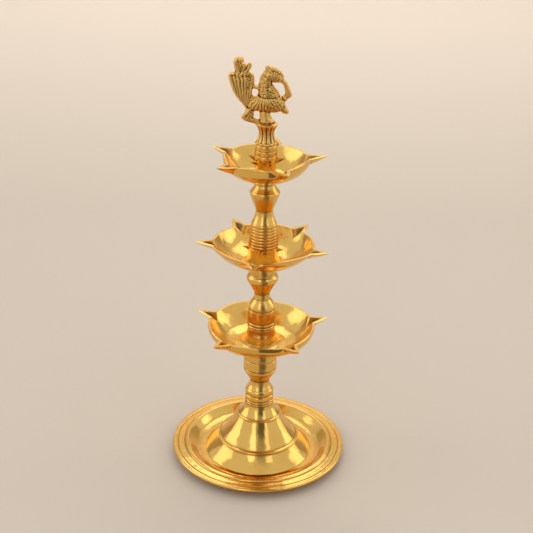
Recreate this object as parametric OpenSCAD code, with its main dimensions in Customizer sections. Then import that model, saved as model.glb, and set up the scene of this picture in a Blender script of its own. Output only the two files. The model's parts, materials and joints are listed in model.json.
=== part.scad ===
// Three-tier standing oil lamp in turned and cast brass.
// Millimetres, +Z up, origin at the centre of the base where it meets the table.
// The stack is held by double-ended studs: every piece stands on the one below it.

/* [Base] */
// Radius of the dish over its outer edge
base_r = 75; // [65:1:90]
// Height of the brim's outer edge above the table
brim_h = 9; // [7:0.5:12]
// Radius of the flat ring the dish stands on
foot_r = 53; // [50:0.5:56]
// Thickness of the dish casting
dish_wall = 2.6; // [2:0.1:3.2]

/* [Bell] */
// Radius of the bell where it stands in the dish
bell_foot_r = 46; // [42:0.5:47]
// Radius of the bell's overhanging middle lip
bell_lip_r = 34.3; // [30:0.1:37]
// Radius of the bell's upper shoulder line
bell_shoulder_r = 18.4; // [16:0.1:21]
// Radius of the grooved collar on top of the bell
bell_collar_r = 12.2; // [11:0.1:14]
// Height of the bell from its seat to the top of its collar
bell_h = 54.8; // [48:0.2:66]

/* [Stem] */
// Height of the baluster between the bell and the bottom bowl
baluster_h = 46.5; // [40:0.5:56]
// Largest radius of the baluster's bulb
baluster_r = 14.1; // [12.5:0.1:17]
// Height of the stem between the bottom and middle bowls
lower_stem_h = 63.2; // [55:0.2:76]
// Radius of the spool that stands in the bottom bowl
lower_spool_r = 11.3; // [10:0.1:13]
// Height of the stem between the middle and top bowls
upper_stem_h = 56.4; // [50:0.2:68]
// Radius at the foot of the ribbed spool in the middle bowl
upper_spool_r = 12.3; // [11:0.1:13.5]
// Number of turned ribs on that spool
rib_count = 8; // [5:1:11]
// Radius of the narrow waist of each stem
waist_r = 6.3; // [5.8:0.1:7.5]
// Height of the plain spool in the top bowl
top_spool_h = 11.8; // [9.5:0.1:15]

/* [Bowls] */
// Radius of the bottom bowl's lip
lower_bowl_r = 44.8; // [38:0.2:54]
// Radius of the middle bowl's lip
middle_bowl_r = 42.6; // [36:0.2:52]
// Radius of the top bowl's lip
upper_bowl_r = 35.5; // [30:0.5:43]
// Depth of each bowl from lip to seat
bowl_h = 19.4; // [16:0.2:24]
// Thickness of the cast bowl walls
bowl_wall = 2.2; // [1.8:0.1:2.8]
// How far each wick beak reaches past the lip
beak_reach = 14.4; // [10:0.2:17]
// Half the width of a beak where it leaves the wall
beak_r = 7; // [5:0.1:8.5]

/* [Studs] */
// Radius of the threaded studs
stud_r = 3.5; // [3:0.1:4]
// Radial clearance between a stud and its hole
stud_gap = 0.05; // [0.03:0.01:0.08]
// Length of thread screwed into each piece
thread_len = 8; // [6:0.5:9]

/* [Finial] */
// Height of the fluted pedestal under the peacock
pedestal_h = 16.5; // [14:0.5:20]
// Radius of the pedestal's lobed foot
pedestal_r = 9.4; // [8.5:0.1:11]
// Size of the peacock against its usual 50 mm height
bird_size = 1; // [0.85:0.05:1.2]

/* [Hidden] */
$fn = 64;

cut = 1;            // extra length on a cutting body so that it passes through a face
end_gap = 0.4;      // space left past each end of a stud
steps = 10;         // straight cone steps in one turned curve
bowl_steps = 14;    // cone steps in a bowl's wall

// Heights of the seats, from the table up
dish_seat = 3.2;
bell_top = dish_seat + bell_h;
bowl_1 = bell_top + baluster_h;
boss_1 = 11.1 / 19.4 * bowl_h;   // raised boss keeps oil out of the stud hole
stem_1 = bowl_1 + boss_1;
bowl_2 = stem_1 + lower_stem_h;
boss_2 = 17 / 19.4 * bowl_h;
stem_2 = bowl_2 + boss_2;
bowl_3 = stem_2 + upper_stem_h;
boss_3 = 18.6 / 19.4 * bowl_h;
spool_3 = bowl_3 + boss_3;
finial_z = spool_3 + top_spool_h;

stud_hole = stud_r + stud_gap;
hole_len = thread_len + end_gap;
brass = [0.86, 0.66, 0.27];
dull_brass = [0.72, 0.53, 0.20];

// Where the beaks point, in degrees from +X; they are pinched by eye, so a little uneven
beaks_1 = [14, 86, 159, 230, 302];
beaks_2 = [46.5, 119, 182, 261, 339.5];
beaks_3 = [6, 79, 153, 221, 291];

// A turned curve from radius ra at height za to rb at zb, bulging by belly at its middle
function curve(za, ra, zb, rb, belly) =
    [for (i = [0:steps])
        [ra + (rb - ra) * i / steps + belly * sin(180 * i / steps),
         za + (zb - za) * i / steps]];

// A square-edged groove of the given depth, cut in a wall of radius r around height z
function groove(z, r, depth) =
    [[r, z - depth], [r - depth, z - depth / 2], [r - depth, z + depth / 2], [r, z + depth]];

// A bowl's wall from its middle out to the lip: a rounded cup of radius r and depth d
function cup(r, d, z_lip, full, square) =
    [for (i = [0:bowl_steps])
        let (a = 90 * i / bowl_steps)
        [r * sin(a), z_lip - d * pow(max(0, 1 - pow(sin(a), full)), 1 / square)]];

// Turns a profile given from bottom to top and closes it on the axis
module turned(profile) {
    first = profile[0];
    last = profile[len(profile) - 1];
    rotate_extrude()
        polygon(concat([[0, first[1]]], profile, [[0, last[1]]]));
}

module hole(z, h) {
    translate([0, 0, z])
        cylinder(h = h, r = stud_hole);
}

// A stud from z up, h long
module stud(z, h) {
    color(brass)
        translate([0, 0, z])
            cylinder(h = h, r = stud_r);
}

// ---- base ----

crest_r = base_r * 0.826;    // ring of high ground inside the brim
crest_z = brim_h + 2;
brim_edge = 2.4;             // height of the rounded outer edge
line_r = base_r * 0.94;      // engraved ring on the brim
step_r = crest_r + 2.4;      // small step outside the crest
opening_r = 38;              // hole in the dish under the bell

module base_dish() {
    color(brass)
        rotate_extrude()
            polygon([
                [opening_r, 0],
                [foot_r, 0],
                [foot_r + 1.6, 0.7],
                [crest_r - 1.2, crest_z - 1.3 * dish_wall],
                [crest_r + 1, crest_z - 1.15 * dish_wall],
                [base_r - 1.2, brim_h - brim_edge],
                [base_r - 0.3, brim_h - brim_edge + 0.5],
                [base_r, brim_h - brim_edge / 2],
                [base_r - 0.4, brim_h - 0.3],
                [base_r - 1.2, brim_h],
                [line_r + 0.5, brim_h + 0.3],
                [line_r, brim_h],
                [line_r - 0.5, brim_h + 0.35],
                [step_r + 0.3, crest_z - 0.9],
                [step_r, crest_z - 1.2],
                [step_r - 0.6, crest_z - 0.5],
                [crest_r, crest_z],
                [crest_r - 1.2, crest_z - 0.3],
                [crest_r - 4, crest_z - 2.4],
                [crest_r - 7.5, dish_seat + 2.7],
                [crest_r - 11, dish_seat + 0.7],
                [crest_r - 14, dish_seat],
                [opening_r, dish_seat]]);
}

lip_z = dish_seat + bell_h * 0.223;        // underside of the bell's middle lip
shoulder_z = dish_seat + bell_h * 0.648;   // upper shoulder line
collar_z = dish_seat + bell_h * 0.84;      // foot of the top collar
bell_wall = 2.6;
lip_t = 2;

module base_bell() {
    outer = concat(
        curve(dish_seat, bell_foot_r, lip_z, bell_lip_r - 1, -0.9),
        [[bell_lip_r, lip_z + 0.3], [bell_lip_r, lip_z + lip_t - 0.5]],
        curve(lip_z + lip_t, bell_lip_r - 0.6, shoulder_z - 0.6, bell_shoulder_r + 0.5, -3.9),
        [[bell_shoulder_r + 0.3, shoulder_z]],
        curve(shoulder_z + 0.4, bell_shoulder_r - 0.4, collar_z, bell_collar_r - 0.3, -0.9),
        groove(collar_z + 2, bell_collar_r, 0.5),
        groove(collar_z + 4.4, bell_collar_r, 0.5),
        [[bell_collar_r, bell_top - 0.6], [bell_collar_r - 0.5, bell_top]]);
    inner = concat(
        curve(dish_seat - cut, bell_foot_r - 3, lip_z, bell_lip_r - 4, -0.9),
        curve(lip_z + 1, bell_lip_r - 4.2, shoulder_z - 4, bell_shoulder_r - bell_wall, -3.4),
        [[bell_collar_r - 6, collar_z - 4]]);
    color(brass)
        difference() {
            turned(outer);
            turned(inner);
            hole(bell_top - hole_len, hole_len + cut);
        }
}

// ---- stem pieces ----

module baluster() {
    z = bell_top;
    h = baluster_h;
    color(brass)
        difference() {
            turned(concat(
                curve(z, 11.6, z + 0.118 * h, 11.4, 0.6),
                curve(z + 0.13 * h, 10.9, z + 0.29 * h, waist_r + 1.9, -0.5),
                curve(z + 0.3 * h, waist_r + 1.9, z + 0.5 * h, baluster_r, 0),
                groove(z + 0.56 * h, baluster_r + 0.1, 0.5),
                curve(z + 0.6 * h, baluster_r + 0.1, z + 0.74 * h, baluster_r - 0.2, 0.1),
                curve(z + 0.75 * h, baluster_r - 0.2, z + h, baluster_r - 2.3, 0.7)));
            hole(z - cut, hole_len + cut);
            hole(z + h - hole_len, hole_len + cut);
        }
}

module lower_stem() {
    z = stem_1;
    h = lower_stem_h;
    r = lower_spool_r;
    color(brass)
        difference() {
            turned(concat(
                curve(z, r + 1.5, z + 0.11 * h, r + 0.1, -0.4),
                curve(z + 0.115 * h, r - 0.1, z + 0.155 * h, r - 0.1, 0.6),
                curve(z + 0.16 * h, r - 0.1, z + 0.2 * h, r - 0.1, 0.6),
                groove(z + 0.38 * h, r, 0.5),
                curve(z + 0.41 * h, r, z + 0.53 * h, waist_r + 0.8, 0.7),
                curve(z + 0.54 * h, waist_r + 0.6, z + 0.6 * h, waist_r, -0.1),
                curve(z + 0.61 * h, waist_r, z + 0.8 * h, r + 1.7, -0.2),
                curve(z + 0.81 * h, r + 1.8, z + 0.855 * h, r + 1.5, 0.2),
                curve(z + 0.865 * h, r + 1.2, z + 0.91 * h, r - 0.5, -0.3),
                curve(z + 0.92 * h, r - 0.5, z + h, r + 0.1, -0.2)));
            hole(z - cut, hole_len + cut);
            hole(z + h - hole_len, hole_len + cut);
        }
}

rib_depth = 0.45;
rib_taper = 1.9;     // the ribbed spool is this much slimmer at its top

module upper_stem() {
    z = stem_2;
    h = upper_stem_h;
    r = upper_spool_r;
    spool_h = 0.37 * h;
    pitch = spool_h / rib_count;
    ribs = [for (i = [0:rib_count - 1], k = [0:3])
        let (t = (i + k / 4) / rib_count)
        [r - rib_taper * t - rib_depth * (k == 0 ? 1 : 0), z + spool_h * t]];
    color(brass)
        difference() {
            turned(concat(
                ribs,
                curve(z + spool_h, r - rib_taper - 0.2, z + 0.56 * h, waist_r + 0.1, -0.9),
                curve(z + 0.57 * h, waist_r + 0.1, z + 0.81 * h, r - 0.6, 0.2),
                curve(z + 0.82 * h, r - 0.5, z + 0.855 * h, r - 0.7, 0.2),
                curve(z + 0.86 * h, r - 1.1, z + 0.965 * h, waist_r + 0.5, -1),
                [[waist_r + 1.1, z + h]]));
            hole(z - cut, hole_len + cut);
            hole(z + h - hole_len, hole_len + cut);
        }
}

top_spool_r = 9;

module top_spool() {
    z = spool_3;
    h = top_spool_h;
    color(brass)
        difference() {
            turned(concat(
                [[top_spool_r - 0.3, z], [top_spool_r, z + 0.4]],
                groove(z + 0.3 * h, top_spool_r, 0.4),
                groove(z + 0.68 * h, top_spool_r + 0.1, 0.4),
                [[top_spool_r + 0.3, z + h - 0.5], [top_spool_r, z + h]]));
            hole(z - cut, h + 2 * cut);
        }
}

// ---- bowls ----

beak_point = 5;      // length of solid brass at a beak's tip
boss_flare = 6;      // how much wider the boss is where it meets the bowl's floor
flank_steps = 5;     // cone steps in the boss's hollow flank
beak_root = 3;       // how far inside the lip a beak starts
hollow_root = 5;     // the same for the beak's hollow
keel_fit = 0.9;      // keeps a beak's keel just inside the wall it grows from
trim = 1;            // height above the lip that is cast and then cut off flat
lip_edge = 0.4;      // upright band at the very top of a bowl's wall
beak_edge = 0.3;     // the same on the beaks

// A wick beak with a V keel: its point at radius tip, its root w wide each way and d deep.
// rise carries the same outline straight up past the lip, where it is trimmed off.
module beak(turn, z_lip, root, tip, w, d, rise) {
    rotate([0, 0, turn])
        translate([0, 0, z_lip])
            polyhedron(
                points = [[tip, 0, 0], [root, w, 0], [root, -w, 0], [root, 0, -d],
                          [tip, 0, rise], [root, w, rise], [root, -w, rise]],
                faces = [[4, 6, 5], [0, 2, 6, 4], [0, 4, 5, 1], [1, 5, 6, 2], [1, 2, 3],
                         [0, 3, 2], [0, 1, 3]]);
}

// A bowl on its seat at z: lip radius r, cup shape full and square, boss of radius boss_r
module bowl(z, r, full, square, boss_r, boss_h, turns) {
    z_lip = z + bowl_h;
    deep = bowl_h * 1.05;
    root = r - beak_root;
    tip = r + beak_reach;
    keel = keel_fit * deep * pow(1 - pow(root / r, full), 1 / square);
    shrink = (tip - beak_point - (r - hollow_root)) / (tip - root);
    outer = cup(r, deep, z_lip - lip_edge, full, square);
    inner = cup(r - bowl_wall, deep - bowl_wall, z_lip - lip_edge, full, square);
    floor_z = z + bowl_wall + 0.3;
    wall_out = [for (p = outer) if (p[1] > z + 0.4) p];
    wall_in = [for (p = inner) if (p[0] > boss_r + boss_flare + 1) [p[0], max(p[1], floor_z)]];
    flank = [for (i = [0:flank_steps])
        let (t = i / flank_steps)
        [boss_r + boss_flare * t * t, z + boss_h - (boss_h - bowl_wall - 0.3) * t]];
    color(brass)
        difference() {
            union() {
                rotate_extrude()
                    polygon(concat([[0, z], [wall_out[0][0] - 2, z]], wall_out,
                                   [[r, z_lip + trim], [0, z_lip + trim]]));
                for (a = turns)
                    beak(a, z_lip - beak_edge, root, tip, beak_r, keel, beak_edge + 0.7 * trim);
            }
            translate([0, 0, z_lip])
                cylinder(h = trim + cut, r = tip + cut);
            rotate_extrude()
                polygon(concat(
                    [[0, z + boss_h]],
                    flank,
                    wall_in,
                    [[r - bowl_wall, z_lip + cut], [0, z_lip + cut]]));
            for (a = turns)
                beak(a, z_lip - beak_edge, r - hollow_root, tip - beak_point,
                     beak_r * shrink, keel * shrink, beak_edge + 1.3 * cut);
            hole(z - cut, bowl_h + 3 * cut);
        }
}

module lower_bowl() {
    bowl(bowl_1, lower_bowl_r, 1.6, 2.5, 12, boss_1, beaks_1);
}

module middle_bowl() {
    bowl(bowl_2, middle_bowl_r, 2, 1.3, 12.2, boss_2, beaks_2);
}

module upper_bowl() {
    bowl(bowl_3, upper_bowl_r, 1.6, 2, 8, boss_3, beaks_3);
}

// ---- studs ----

module bell_stud() {
    stud(bell_top - thread_len, 2 * thread_len);
}

module lower_bowl_stud() {
    stud(bowl_1 - thread_len, boss_1 + 2 * thread_len);
}

module middle_bowl_stud() {
    stud(bowl_2 - thread_len, boss_2 + 2 * thread_len);
}

module finial_stud() {
    stud(bowl_3 - thread_len, boss_3 + top_spool_h + 2 * thread_len);
}

// ---- peacock ----

facets = 16;         // sides of the rounded ends in the cast bird

// A round cone in the bird's middle plane, from [x, up] with radius ra to the next with rb
module limb(a, ra, b, rb) {
    run = b - a;
    translate([a[0], 0, a[1]])
        rotate([0, atan2(run[0], run[1]), 0])
            cylinder(h = norm(run), r1 = ra, r2 = rb);
}

module blob(p, r) {
    translate([p[0], 0, p[1]])
        sphere(r = r, $fn = facets);
}

// Positions are [forward, up] from the top of the pedestal's collar
rump = [-11, 15];
breast = [6.5, 15.2];
breast_low = [12, 17];
neck_root = [-0.8, 19];
nape = [-2.6, 30];
brow = [1.6, 35.6];
crest_tip = [-1.6, 43];
beak_top = [10.6, 35];
plume_bend = [15, 27.5];
plume_low = [16.2, 20.6];
stub_tip = [14.8, 9];
tail_root = [-17, 18];
tail_side = [-22.6, 26];
tail_back = [-28.2, 34.8];
tail_front = [-13, 35];
tail_stem = [-21.6, 38];
tail_knob = [-22.3, 47.6];
side_knob = [-14.2, 43.4];
heel = [-13.4, 5.4];
heel_tip = [-19.4, 3.6];

module bird() {
    union() {
        hull() {
            blob(rump, 5.6);
            blob(breast, 6.9);
            blob(breast_low, 3.4);
        }
        hull() {
            blob(neck_root, 6.1);
            blob(nape, 4.9);
        }
        hull() {
            blob(nape, 4.7);
            blob(brow, 4.6);
            blob(crest_tip, 1.5);
            blob(beak_top, 2.5);
        }
    }
    union() {
        hull() {
            blob(beak_top, 2.3);
            blob(plume_bend, 2.1);
        }
        hull() {
            blob(plume_bend, 2);
            blob(plume_low, 2.2);
            blob([13.4, 18.4], 2);
        }
    }
    union() {
        hull() {
            blob(tail_root, 4);
            blob(tail_side, 2.6);
            blob(tail_back, 1.7);
            blob(tail_front, 2.6);
            blob(tail_stem, 3.2);
        }
        hull() {
            blob(tail_stem, 3.1);
            blob(tail_knob, 3.7);
        }
    }
    limb([-13.2, 34], 2.1, side_knob, 1.7);
    limb([-14, 29], 2, [-3, 28.4], 2.1);
    limb([8, 13.6], 3.3, stub_tip, 1.9);
    limb([-13.2, 14], 3.1, heel, 2.7);
    limb([-12.6, 5.8], 2.6, heel_tip, 1.5);
    limb([-14.4, 5.6], 2.5, [-5.5, 0.6], 2.1);
}

lobes = 10;          // rounded petals round the pedestal's foot

module peacock_finial() {
    z = finial_z;
    h = pedestal_h;
    r = pedestal_r;
    color(dull_brass)
        difference() {
            union() {
                turned(concat(
                    [[r - 1.2, z], [r - 0.7, z + 1.8]],
                    curve(z + 2, r - 1, z + 0.54 * h, r - 3.3, -0.4),
                    curve(z + 0.55 * h, r - 3.3, z + 0.9 * h, r - 1.1, -0.3),
                    curve(z + 0.91 * h, r - 0.7, z + 0.99 * h, r - 0.6, 0.4),
                    curve(z + h, r - 1, z + 1.24 * h, 4.4, -0.7),
                    [[4.2, z + 1.7 * h]]));
                for (i = [0:lobes - 1])
                    rotate([0, 0, (i + 0.5) * 360 / lobes])
                        translate([r - 2, 0, z])
                            cylinder(h = 1.8, r = 2);
                translate([0, 0, z + h])
                    scale(bird_size)
                        bird();
            }
            hole(z - cut, hole_len + cut);
        }
}

base_dish();
base_bell();
bell_stud();
baluster();
lower_bowl();
lower_bowl_stud();
lower_stem();
middle_bowl();
middle_bowl_stud();
upper_stem();
upper_bowl();
top_spool();
finial_stud();
peacock_finial();
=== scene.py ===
"""Three-tier standing oil lamp in turned and cast brass.

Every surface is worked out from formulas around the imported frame, in metres, +Z up.
"""

import json
import math

import bpy
import numpy as np
from mathutils import Matrix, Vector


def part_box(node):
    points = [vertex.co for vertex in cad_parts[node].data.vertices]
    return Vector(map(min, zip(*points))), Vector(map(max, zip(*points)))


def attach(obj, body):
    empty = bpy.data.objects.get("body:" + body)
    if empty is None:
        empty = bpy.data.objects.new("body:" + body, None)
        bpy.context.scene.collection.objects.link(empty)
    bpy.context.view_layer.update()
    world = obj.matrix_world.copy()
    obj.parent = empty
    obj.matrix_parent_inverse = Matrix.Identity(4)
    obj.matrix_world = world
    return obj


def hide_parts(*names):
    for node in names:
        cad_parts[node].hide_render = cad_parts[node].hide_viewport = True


bl_info = {
    "name": "Standing Oil Lamp",
    "version": (1, 0, 0),
    "blender": (4, 5, 0),
    "location": "3D View > Sidebar > Oil Lamp",
    "description": "Builds a three-tier brass oil lamp with beaked bowls and a peacock finial",
    "category": "Add Mesh",
}

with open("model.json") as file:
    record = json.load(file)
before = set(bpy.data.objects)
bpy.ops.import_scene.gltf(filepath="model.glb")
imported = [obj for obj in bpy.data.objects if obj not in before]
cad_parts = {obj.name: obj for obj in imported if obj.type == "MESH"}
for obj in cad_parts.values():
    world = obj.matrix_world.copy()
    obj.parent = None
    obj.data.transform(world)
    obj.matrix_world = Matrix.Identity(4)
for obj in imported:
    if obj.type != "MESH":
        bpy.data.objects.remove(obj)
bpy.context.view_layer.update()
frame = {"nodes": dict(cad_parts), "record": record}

MM = 0.001
SEAT = {name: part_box(name)[0].z / MM for name in frame["nodes"]}
TOP = {name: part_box(name)[1].z / MM for name in frame["nodes"]}


# ---- sizes and colours a user would change ----


class LampSizes(bpy.types.PropertyGroup):
    """Sizes that the frame leaves open."""

    stud_hole: bpy.props.FloatProperty(
        name="Stud hole", description="Radius of the hole a stud screws into",
        default=3.55 * MM, min=3.5 * MM, max=3.6 * MM, unit="LENGTH")
    thread_pitch: bpy.props.FloatProperty(
        name="Thread pitch", description="Height of one turn of the studs' thread",
        default=1.6 * MM, min=1 * MM, max=2 * MM, unit="LENGTH")
    edge_softness: bpy.props.FloatProperty(
        name="Edge softness", description="How far buffing has rounded the turned edges",
        default=0.24 * MM, min=0.1 * MM, max=0.6 * MM, unit="LENGTH")
    bowl_wall: bpy.props.FloatProperty(
        name="Bowl wall", description="Thickness of the cast bowls at the lip",
        default=2.1 * MM, min=1.5 * MM, max=2.8 * MM, unit="LENGTH")
    lip_wave: bpy.props.FloatProperty(
        name="Lip wave", description="How far a bowl's lip stands up between its beaks",
        default=1.3 * MM, min=0, max=3 * MM, unit="LENGTH")
    turn_steps: bpy.props.IntProperty(
        name="Steps round", description="Number of faces round a turned piece",
        default=144, min=48, max=256)


class LampColours(bpy.types.PropertyGroup):
    """Colours of the brass, of its tarnish and residue, and of the painted shade in the finial pedestal's
    grooves.
    """

    polished: bpy.props.FloatVectorProperty(
        name="Polished brass", description="Freshly buffed brass",
        subtype="COLOR", size=3, default=(0.88, 0.55, 0.145), min=0, max=1)
    handled: bpy.props.FloatVectorProperty(
        name="Handled brass", description="Brass that has gone warm and a little dull",
        subtype="COLOR", size=3, default=(0.82, 0.48, 0.12), min=0, max=1)
    # tarnish in grooves and corners, and painted shade in the finial pedestal's flutes
    tarnish_and_shade: bpy.props.FloatVectorProperty(
        name="Tarnish", description="Brown left in grooves and corners",
        subtype="COLOR", size=3, default=(0.17, 0.075, 0.018), min=0, max=1)
    cast: bpy.props.FloatVectorProperty(
        name="Cast brass", description="High spots of the sand-cast peacock",
        subtype="COLOR", size=3, default=(0.95, 0.59, 0.18), min=0, max=1)
    # residue in the peacock's recesses, and painted shade in the finial pedestal's flutes
    soot_and_shade: bpy.props.FloatVectorProperty(
        name="Soot and polish", description="Dark residue in the peacock's recesses",
        subtype="COLOR", size=3, default=(0.10, 0.05, 0.018), min=0, max=1)
    floor: bpy.props.FloatVectorProperty(
        name="Floor", description="Plain pale floor under the lamp",
        subtype="COLOR", size=3, default=(0.72, 0.63, 0.54), min=0, max=1)


# ---- shapes ----


def line(*points):
    """Straight runs between the given [radius, height] points."""
    return np.array(points, float)


def curve(za, ra, zb, rb, belly=0.0, steps=14):
    """Radius runs evenly from ra to rb as height runs from za to zb,
    plus belly times the sine of half a turn."""
    t = np.linspace(0, 1, steps)
    return np.column_stack([ra + (rb - ra) * t + belly * np.sin(np.pi * t), za + (zb - za) * t])


def groove(z, r, depth):
    """A square groove: four points that step in by depth around height z."""
    return line([r, z - depth], [r - depth, z - depth / 2], [r - depth, z + depth / 2], [r, z + depth])


def bead(za, zb, r, out):
    """Half of a circle squashed to stand out from radius r between heights za and zb."""
    a = np.linspace(0, np.pi, 12)
    return np.column_stack([r + out * np.sin(a), (za + zb) / 2 - (zb - za) / 2 * np.cos(a)])


def bell_curve(width):
    """Weights of a normal distribution over whole steps, out to three widths, that add up to one."""
    reach = max(1, int(3 * width))
    k = np.exp(-0.5 * (np.arange(-reach, reach + 1) / max(width, 1e-6)) ** 2)
    return k / k.sum()


def averaged(values, width, loop):
    """Each value mixed with its neighbours by a bell curve. An open run is continued by its own
    point reflection, so that its ends stay where they are."""
    k = bell_curve(width)
    reach = len(k) // 2
    if loop:
        return np.convolve(np.pad(values, reach, mode="wrap"), k, "valid")
    return np.convolve(np.pad(values, reach, mode="reflect", reflect_type="odd"), k, "valid")


def buffed(points, soft, chord=2.2, turn=8.0, loop=False):
    """A profile softened by buffing: even 0.08 steps along it, each averaged with its neighbours over the
    distance soft, then points kept each time it has run chord or turned by turn degrees.
    Gives radii, heights and how far each point lies in a hollow, from -1 to 1."""
    step = 0.08
    p = np.asarray(points, float)
    if loop:
        p = np.vstack([p, p[:1]])
    span = np.hypot(*np.diff(p, axis=0).T)
    keep = np.r_[True, span > 1e-9]
    p = p[keep]
    run = np.r_[0, np.cumsum(span[span > 1e-9])]
    s = np.linspace(0, run[-1], int(run[-1] / step) + 2)
    if loop:
        s = s[:-1]
    r = averaged(np.interp(s, run, p[:, 0]), soft / step, loop)
    z = averaged(np.interp(s, run, p[:, 1]), soft / step, loop)
    wide = 0.9 / step
    dr, dz = np.gradient(r), np.gradient(z)
    size = np.hypot(dr, dz) + 1e-9
    hollow = ((averaged(r, wide, loop) - r) * dz - (averaged(z, wide, loop) - z) * dr) / size
    hollow = np.clip(hollow / 0.22, -1, 1)
    heading = np.unwrap(np.arctan2(dz, dr))
    cost = np.cumsum(np.r_[0, np.diff(s) / chord + np.abs(np.diff(heading)) / math.radians(turn)])
    picks = np.linspace(0, cost[-1], int(cost[-1]) + 3)
    if loop:
        picks = picks[:-1]
    at = np.interp(picks, cost, s)
    return np.interp(at, s, r), np.interp(at, s, z), np.interp(at, s, hollow)


def skin(name, grid, extras, poles):
    """A mesh through a grid of points whose columns go all the way round. With poles the first and last
    rows close to one point each; without them the last row joins the first, as on a ring.
    extras are numbers per grid point, stored as attributes."""
    rows, cols = grid.shape[:2]
    row, col = np.meshgrid(np.arange(rows), np.arange(cols), indexing="ij")
    index = row * cols + col
    after = np.roll(index, -1, axis=1)
    if poles:
        a, b, c, d = index[1:-2], after[1:-2], after[2:-1], index[2:-1]
    else:
        up, up_after = np.roll(index, -1, axis=0), np.roll(after, -1, axis=0)
        a, b, c, d = index, after, up_after, up
    used = np.ones(rows * cols, bool)
    if poles:
        used[index[0, 1:]] = used[index[-1, 1:]] = False
    place = np.cumsum(used) - 1
    faces = place[np.stack([a, b, c, d], axis=-1).reshape(-1, 4)].tolist()
    if poles:
        first, last = np.full(cols, index[0, 0]), np.full(cols, index[-1, 0])
        faces += place[np.stack([first, after[1], index[1]], axis=-1)].tolist()
        faces += place[np.stack([index[-2], after[-2], last], axis=-1)].tolist()
    mesh = bpy.data.meshes.new(name)
    mesh.from_pydata((grid.reshape(-1, 3)[used] * MM).tolist(), [], faces)
    for key, values in extras.items():
        layer = mesh.attributes.new(key, "FLOAT", "POINT")
        spread = np.broadcast_to(values, (rows, cols)).reshape(-1)[used]
        layer.data.foreach_set("value", spread.astype(np.float32))
    mesh.shade_smooth()
    mesh.set_sharp_from_angle(angle=math.radians(38))
    mesh.update()
    thing = bpy.data.objects.new(name, mesh)
    bpy.context.scene.collection.objects.link(thing)
    return thing


def turned(name, points, steps, soft, chord=2.2, turn=8.0):
    """A solid of revolution: the buffed profile, from the axis at the bottom to the axis at the top,
    carried round."""
    r, z, hollow = buffed(points, soft, chord, turn)
    r[0] = r[-1] = 0
    a = np.linspace(0, 2 * np.pi, steps, endpoint=False)
    grid = np.stack([np.outer(r, np.cos(a)), np.outer(r, np.sin(a)), np.outer(z, np.ones(steps))], axis=-1)
    return skin(name, grid, {"hollow": hollow[:, None]}, poles=True)


def with_holes(outline, hole_r, foot_depth, head_depth):
    """Closes an outline onto the axis through a blind hole of the given depth at its foot and at its head."""
    z0, z1 = outline[0][1], outline[-1][1]
    foot = line([0, z0 + foot_depth], [hole_r, z0 + foot_depth], [hole_r, z0 + 0.4], [hole_r + 0.4, z0])
    head = line([hole_r + 0.4, z1], [hole_r, z1 - 0.4], [hole_r, z1 - head_depth], [0, z1 - head_depth])
    return np.vstack([foot, outline, head])


def threaded(name, z0, z1, r, pitch):
    """A stud: radius falls by the thread's depth as a rounded saw that climbs one pitch a turn,
    and eases to a chamfer at both ends."""
    a = np.linspace(0, 2 * np.pi, 72, endpoint=False)
    z = np.linspace(z0, z1, int((z1 - z0) / pitch * 14))
    turns = z[:, None] / pitch - a[None, :] / (2 * np.pi)
    cut = 0.5 - 0.5 * np.cos(2 * np.pi * turns)
    end = np.minimum(z - z0, z1 - z)
    radius = r - 0.02 - 0.42 * cut ** 0.8 - 0.7 * np.clip(1 - end / 1.1, 0, 1)[:, None]
    height = np.broadcast_to(z[:, None], radius.shape)
    grid = np.stack([radius * np.cos(a), radius * np.sin(a), height], axis=-1)
    flat = np.array([0.0, 0.5])[:, None, None]
    cap0 = grid[:1] * np.array([1, 1, 0]) * flat + np.array([0, 0, z0])
    cap1 = grid[-1:] * np.array([1, 1, 0]) * flat[::-1] + np.array([0, 0, z1])
    grid = np.vstack([cap0, grid, cap1])
    hollow = np.vstack([np.zeros((2, 72)), cut * 1.6 - 0.8, np.zeros((2, 72))])
    return skin(name, grid, {"hollow": hollow}, poles=True)


def cup(r, depth, z_lip, full, square, steps=40):
    """A rounded cup from its middle out to the lip: height falls below the lip by
    depth times (1 - (radius / r) ^ full) ^ (1 / square)."""
    x = np.sin(np.linspace(0, np.pi / 2, steps))
    return np.column_stack([r * x, z_lip - depth * np.clip(1 - x ** full, 0, None) ** (1 / square)])


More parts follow.
